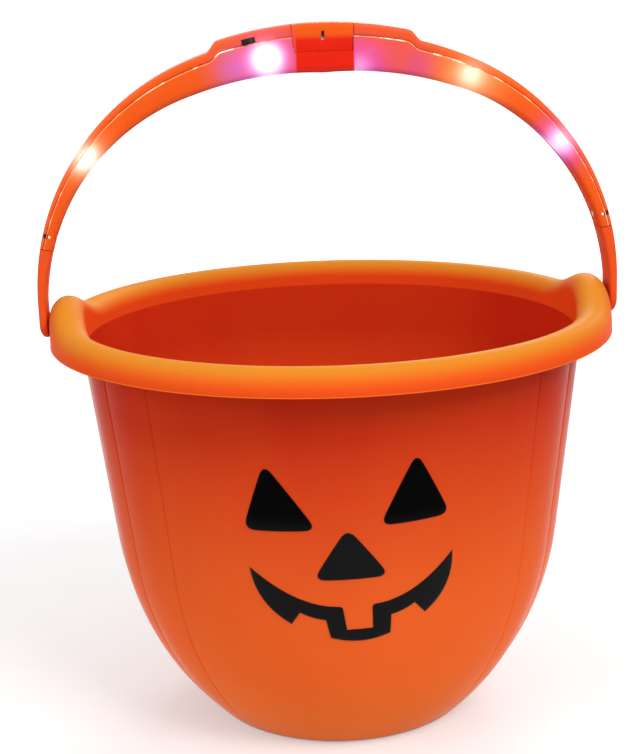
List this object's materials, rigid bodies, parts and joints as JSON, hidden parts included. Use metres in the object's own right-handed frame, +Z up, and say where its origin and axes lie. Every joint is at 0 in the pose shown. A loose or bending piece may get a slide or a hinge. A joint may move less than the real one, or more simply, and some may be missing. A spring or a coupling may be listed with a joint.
{
  "type": "candy pail",
  "caption": "Round tapered candy pail with a jack-o'-lantern face, a rolled rim with two ears, and a swinging arched handle with battery-fed lights inside.",
  "frame": {"origin": "centre of the pail's base, on the surface it stands on", "axes": "+Z up, the face looks along -Y, +X is along the handle's pivot axis, to the right as the face is seen"},
  "size_m": [0.2268, 0.22, 0.273],
  "materials": {
    "pail_plastic": "glossy orange polypropylene, satin on the rim",
    "face_ink": "glossy black print",
    "leg_plastic": "opaque red-orange, lightly glossy",
    "lit_plastic": "translucent orange, glossy, lit from inside",
    "tray_plastic": "opaque red",
    "cell_nickel": "bright nickel plate",
    "screw_steel": "zinc-plated steel",
    "switch_steel": "pressed tinned steel",
    "black_plastic": "black moulded plastic",
    "board": "green solder mask",
    "lens": "clear moulded epoxy",
    "wire_cover": "soft red insulation"
  },
  "bodies": {
    "pail_body": {"pail": "pail_plastic", "left_eye": "face_ink", "right_eye": "face_ink", "nose": "face_ink", "mouth": "face_ink", "left_pivot_pin": "leg_plastic", "right_pivot_pin": "leg_plastic"},
    "handle": {"left_leg": "leg_plastic", "right_leg": "leg_plastic", "leg_screw_left": "screw_steel", "leg_screw_right": "screw_steel", "handle_inner_shell": "lit_plastic", "handle_outer_shell": "lit_plastic", "battery_tray": "tray_plastic", "cell_1": "cell_nickel", "cell_2": "cell_nickel", "cell_3": "cell_nickel", "cell_contact_minus": "cell_nickel", "cell_contact_plus": "cell_nickel", "circuit_board": "board", "controller_chip": "black_plastic", "switch_body": "switch_steel", "led_1": "lens", "led_2": "lens", "led_3": "lens", "led_4": "lens", "led_5": "lens", "led_6": "lens", "wire_loom_left": "wire_cover", "wire_loom_right": "wire_cover", "lead_minus": "wire_cover", "lead_plus": "wire_cover"},
    "door": {"battery_door": "lit_plastic", "door_screw": "screw_steel"},
    "slider": {"switch_slider": "black_plastic"}
  },
  "joints": [
    {"name": "handle_swing", "type": "hinge", "parent": "pail_body", "child": "handle", "pos_m": [0, 0, 0.163], "axis": [1, 0, 0], "range_deg": [-84, 84]},
    {"name": "switch_slide", "type": "slide", "parent": "handle", "child": "slider", "axis": [0.9776, 0, 0.2107], "range_m": [0, 0.002]},
    {"name": "door_lift", "type": "slide", "parent": "handle", "child": "door", "axis": [0, 0, 1], "range_m": [0, 0.02]}
  ]
}
